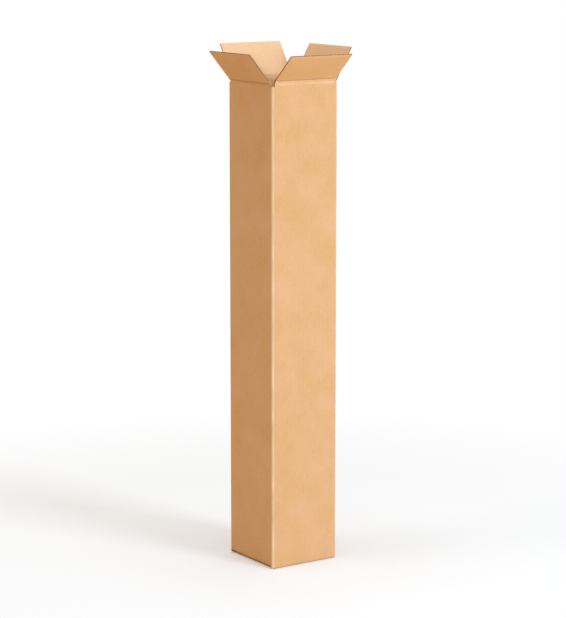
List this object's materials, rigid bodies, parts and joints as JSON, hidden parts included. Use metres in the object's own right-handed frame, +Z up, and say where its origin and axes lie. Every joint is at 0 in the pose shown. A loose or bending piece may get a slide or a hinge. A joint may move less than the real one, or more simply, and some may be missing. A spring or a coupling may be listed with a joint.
{
  "type": "tall square mailing carton",
  "caption": "Tall slender square corrugated mailing carton standing open, with hinged top flaps and a folded, glued bottom.",
  "frame": {"origin": "centre of the carton's square base, on the surface it stands on", "axes": "+Z up along the carton's length, -Y out of the front wall, -X out of the left wall; the front and back walls carry the outer flaps"},
  "size_m": [0.1562, 0.1634, 0.6652],
  "materials": {
    "kraft_board": "plain brown kraft liner, matt"
  },
  "bodies": {
    "carton": {"carton_body": "kraft_board"},
    "front_flap": {"front_outer_flap": "kraft_board"},
    "back_flap": {"back_outer_flap": "kraft_board"},
    "left_flap": {"left_inner_flap": "kraft_board"},
    "right_flap": {"right_inner_flap": "kraft_board"}
  },
  "joints": [
    {"name": "front_flap_crease", "type": "hinge", "parent": "carton", "child": "front_flap", "pos_m": [0, -0.05, 0.62235], "axis": [1, 0, 0], "range_deg": [-138, 122]},
    {"name": "back_flap_crease", "type": "hinge", "parent": "carton", "child": "back_flap", "pos_m": [0, 0.05, 0.62235], "axis": [-1, 0, 0], "range_deg": [-123, 137]},
    {"name": "left_flap_crease", "type": "hinge", "parent": "carton", "child": "left_flap", "pos_m": [-0.05, 0, 0.61895], "axis": [0, -1, 0], "range_deg": [-130, 130]},
    {"name": "right_flap_crease", "type": "hinge", "parent": "carton", "child": "right_flap", "pos_m": [0.05, 0, 0.61895], "axis": [0, 1, 0], "range_deg": [-120, 140]}
  ]
}
